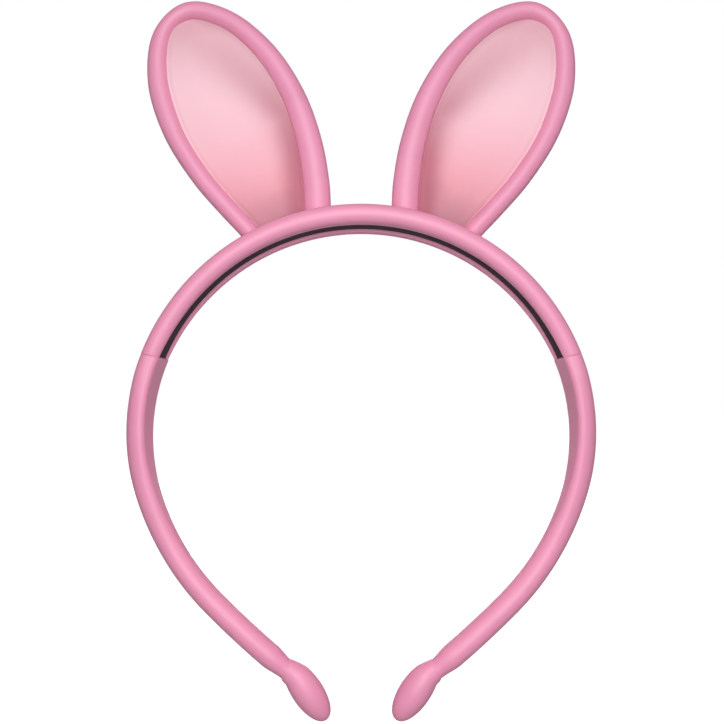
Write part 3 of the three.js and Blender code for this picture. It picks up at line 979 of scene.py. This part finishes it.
def build_ears():
    root = on_hoop(EAR_ANGLE, HOOP_RADIUS, 0.0)
    out = on_hoop(EAR_ANGLE, HOOP_RADIUS + 1, 0.0) - root
    start, end = (Vector(root + out * d) * MM for d in EAR_BEND)
    seam_side = math.radians(-125)
    back_grid = (PANEL_EDGE, 40, 180)
    blown = blown_out(*back_grid)
    pieces = [
        (shell("left_rim_sleeve", rim_rings(170, 0, 32, seam_side), rim_rings(170, 0.7, 32, seam_side),
               closed=True),
         "ear_rim", rim_cloth, "pink_rim", ("sheet", (21, 186))),
        (shell("left_rim_filling", rim_rings(120, 1.0, 20), wire_rings(120, 0.9, 20), closed=True,
               round_ends=(0.2, 0.2)),
         "ear_rim_wadding", wadding, "padding", ("padded", 0.8)),
        (solid("left_rim_wire", wire_rings(150, 0.6, 14)), "ear_wire", steel, "ear_wire", None),
        (panel_layers("left_front_panel", dish, lambda g: dish(g) + PANEL_THICK, PANEL_EDGE),
         "ear_front_panel", panel_cloth, "pale_panel", ("sheet", (35, 73))),
        (panel_layers("left_panel_filling", lambda g: dish(g) + 0.85, between, FILLING_EDGE, 20, 90),
         "ear_filler", wadding, "padding", ("padded", 0.5)),
        (panel_layers("left_back_panel", lambda _: blown - PANEL_THICK, lambda _: blown, *back_grid),
         "ear_back_panel", back_cloth, "pink_rim", ("sheet", (35, 73))),
    ]
    for piece, node, material, slot, soft in pieces:
        dress(piece, material)
        twin = mirrored(piece, piece.name.replace("left_", "right_"))
        for made, side in ((piece, "left"), (twin, "right")):
            sign = Vector((1, 1, 1)) if side == "left" else Vector((-1, 1, 1))
            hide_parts(f"{side}_{node}")
            start * sign
            end * sign
            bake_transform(made)
            if soft and soft[0] == "padded":
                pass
            elif soft:
                width, length = soft[1]
                area = None if node == "ear_rim" else 0.74 * width * length * MM * MM
                width * MM
                length * MM


# ------------------------------------------------------------------ studio


def area_light(name, place, target, size, power, colour=(1, 1, 1)):
    data = bpy.data.lights.new(name, "AREA")
    data.shape = "RECTANGLE"
    data.size, data.size_y = size
    data.energy = power
    data.color = colour
    light = bpy.data.objects.new(name, data)
    bpy.context.scene.collection.objects.link(light)
    light.location = place
    light.rotation_euler = (Vector(target) - Vector(place)).to_track_quat("-Z", "Y").to_euler()
    return light


def build_studio():
    world = bpy.data.worlds.new("studio")
    bpy.context.scene.world = world
    world.use_nodes = True
    tree = world.node_tree
    tree.nodes.clear()
    out = tree.nodes.new("ShaderNodeOutputWorld")
    seen, fill = (tree.nodes.new("ShaderNodeBackground") for _ in range(2))
    seen.inputs["Color"].default_value = (1, 1, 1, 1)
    seen.inputs["Strength"].default_value = 1.0
    fill.inputs["Color"].default_value = (1, 0.75, 0.83, 1)
    fill.inputs["Strength"].default_value = 0.28
    rays = tree.nodes.new("ShaderNodeLightPath")
    chosen = tree.nodes.new("ShaderNodeMixShader")
    tree.links.new(rays.outputs["Is Camera Ray"], chosen.inputs[0])
    tree.links.new(fill.outputs[0], chosen.inputs[1])
    tree.links.new(seen.outputs[0], chosen.inputs[2])
    tree.links.new(chosen.outputs[0], out.inputs["Surface"])

    area_light("key", (0, -0.5, 0.30), (0, 0, 0.02), (0.25, 0.2), 0.5)
    area_light("front", (0, -0.9, -0.12), (0, 0, -0.05), (0.4, 0.4), 1.1)
    area_light("near", (0, -0.29, 0), (0, 0, -0.02), (0.26, 0.26), 0.56)
    for light in (
        area_light("inside", (0, -0.045, -0.085), (0, 0, -0.085), (0.05, 0.05), 0.012, (1, 0.8, 0.88)),
        area_light("back", (0, 0.9, 0.15), (0, 0, -0.03), (0.5, 0.5), 6.0),
    ):
        light.visible_camera = False
        light.visible_glossy = False

    floor_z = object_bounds()[0].z - 0.011
    mesh = bpy.data.meshes.new("floor")
    side = 6.0
    corners = [(-side, -side), (side, -side), (side, side), (-side, side)]
    mesh.from_pydata([(x, y, floor_z) for x, y in corners], [], [(0, 1, 2, 3)])
    floor = bpy.data.objects.new("floor", mesh)
    bpy.context.scene.collection.objects.link(floor)
    n = Nodes("floor", Base_Color=(0.35, 0.35, 0.35, 1), Roughness=0.9, Specular_IOR_Level=0.0)
    glow = n.add("ShaderNodeEmission")
    glow.inputs["Color"].default_value = (1, 1, 1, 1)
    n.feed(n.value(n.add("ShaderNodeLightPath"), "Is Camera Ray"), glow, "Strength")
    both = n.add("ShaderNodeAddShader")
    n.feed(n.value(n.shader), both, 0)
    n.feed(n.value(glow), both, 1)
    n.feed(n.value(both), n.output, "Surface")
    mesh.materials.append(n.material)


def build_camera():
    data = bpy.data.cameras.new("camera")
    data.sensor_width = 36.0
    data.lens = 40.77
    data.shift_x = 0.001
    data.clip_start, data.clip_end = 0.01, 30
    camera = bpy.data.objects.new("camera", data)
    bpy.context.scene.collection.objects.link(camera)
    camera.location = (0, -0.261, 0.0125 - SEAT_RADIUS * MM)
    camera.rotation_euler = (math.radians(90 + 2.79), 0, 0)
    bpy.context.scene.camera = camera


bpy.context.scene.view_settings.view_transform = "Standard"
build_camera()
build_crown()
build_arms()
build_tips()
build_ears()
for node in ("crown_core", "left_tip_bulb", "right_tip_bulb", "left_ear_anchor", "right_ear_anchor"):
    dress(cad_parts[node], band_plastic)
build_studio()
